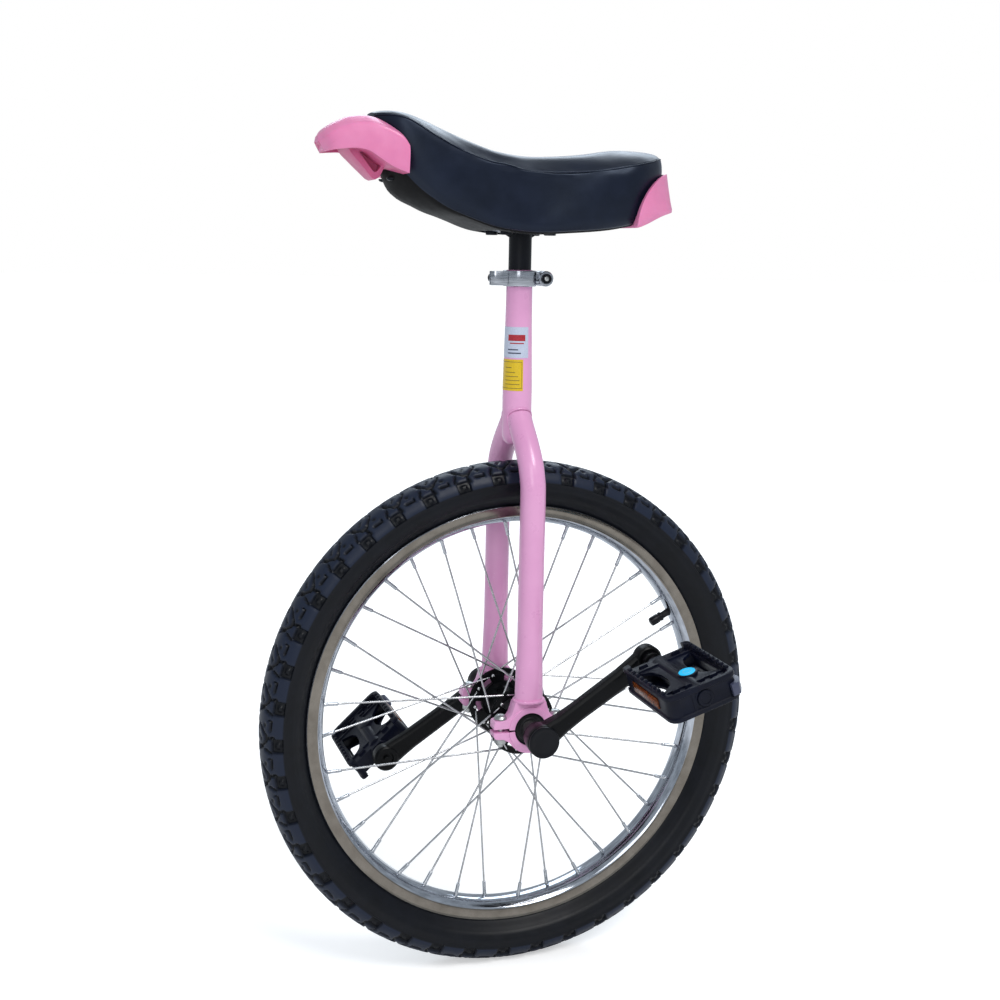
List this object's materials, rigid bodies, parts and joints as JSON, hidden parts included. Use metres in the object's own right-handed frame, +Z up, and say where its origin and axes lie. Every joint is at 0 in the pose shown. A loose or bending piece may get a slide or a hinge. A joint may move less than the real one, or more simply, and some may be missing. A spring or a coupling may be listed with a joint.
{
  "type": "unicycle",
  "caption": "One-wheeled cycle with a curved padded saddle, an adjustable seat post, a straight two-legged fork, and cranks fixed to the axle of a spoked wheel.",
  "frame": {"origin": "centre of the tyre's bottom flat, on the floor under the axle", "axes": "+Z up; the wheel axle is along Y, with the left side towards -Y; the rider faces -X"},
  "size_m": [0.5042, 0.431, 0.838],
  "materials": {
    "frame_paint": "gloss light pink",
    "pink_plastic": "satin moulded pink",
    "amber_lens": "amber lens",
    "clamp_alloy": "satin",
    "tyre": "matte black rubber",
    "tube_rubber": "matte",
    "rim_tape": "matte",
    "chrome": "polished",
    "spoke_steel": "bright",
    "black_metal": "semi-gloss black",
    "vinyl": "smooth black vinyl",
    "foam": "moulded foam",
    "black_plastic": "matte moulded black",
    "zinc_steel": "zinc plated"
  },
  "bodies": {
    "frame": {"seat_tube": "frame_paint", "left_fork_leg": "frame_paint", "left_bearing_holder": "frame_paint", "left_bearing_cap": "frame_paint", "left_front_cap_bolt": "zinc_steel", "left_rear_cap_bolt": "zinc_steel", "left_front_cap_nut": "zinc_steel", "left_rear_cap_nut": "zinc_steel", "left_bearing_outer_ring": "zinc_steel", "right_fork_leg": "frame_paint", "right_bearing_holder": "frame_paint", "right_bearing_cap": "frame_paint", "right_front_cap_bolt": "zinc_steel", "right_rear_cap_bolt": "zinc_steel", "right_front_cap_nut": "zinc_steel", "right_rear_cap_nut": "zinc_steel", "right_bearing_outer_ring": "zinc_steel"},
    "clamp": {"seat_clamp": "clamp_alloy", "rear_clamp_bolt": "zinc_steel", "front_clamp_bolt": "zinc_steel"},
    "saddle": {"seat_post": "black_metal", "saddle_base": "black_plastic", "saddle_foam": "foam", "saddle_cover": "vinyl", "front_bumper": "pink_plastic", "rear_bumper": "pink_plastic", "front_left_bumper_screw": "zinc_steel", "front_right_bumper_screw": "zinc_steel", "rear_bumper_screw": "zinc_steel", "saddle_nut_front_left": "zinc_steel", "saddle_nut_front_right": "zinc_steel", "saddle_nut_rear_left": "zinc_steel", "saddle_nut_rear_right": "zinc_steel"},
    "wheel": {"hub_shell": "black_metal", "wheel_axle": "zinc_steel", "left_bearing_inner_ring": "zinc_steel", "right_bearing_inner_ring": "zinc_steel", "left_spokes": "spoke_steel", "right_spokes": "spoke_steel", "rim": "chrome", "rim_tape": "rim_tape", "inner_tube": "tube_rubber", "valve_cap": "black_plastic", "tyre": "tyre", "left_crank": "black_metal", "right_crank": "black_metal", "left_crank_bolt": "zinc_steel", "right_crank_bolt": "zinc_steel", "left_dust_cap": "black_plastic", "right_dust_cap": "black_plastic", "left_pedal_spindle": "zinc_steel", "right_pedal_spindle": "zinc_steel"},
    "left_pedal": {"left_pedal_body": "black_plastic", "left_pedal_end_cap": "black_plastic", "left_pedal_front_reflector": "amber_lens", "left_pedal_rear_reflector": "amber_lens"},
    "right_pedal": {"right_pedal_body": "black_plastic", "right_pedal_end_cap": "black_plastic", "right_pedal_front_reflector": "amber_lens", "right_pedal_rear_reflector": "amber_lens"}
  },
  "joints": [
    {"name": "wheel_spin", "type": "hinge", "parent": "frame", "child": "wheel", "pos_m": [0, 0, 0.2521], "axis": [0, 1, 0], "continuous": true},
    {"name": "left_pedal_spin", "type": "hinge", "parent": "wheel", "child": "left_pedal", "pos_m": [0.10504, -0.163, 0.32348], "axis": [0, 1, 0], "continuous": true},
    {"name": "right_pedal_spin", "type": "hinge", "parent": "wheel", "child": "right_pedal", "pos_m": [-0.10504, 0.163, 0.18072], "axis": [0, 1, 0], "continuous": true},
    {"name": "saddle_swivel", "type": "hinge", "parent": "frame", "child": "clamp", "pos_m": [0, 0, 0.683], "axis": [0, 0, 1], "range_deg": [-180, 180]},
    {"name": "seat_post_slide", "type": "slide", "parent": "clamp", "child": "saddle", "axis": [0, 0, 1], "range_m": [-0.029, 0.08]}
  ]
}
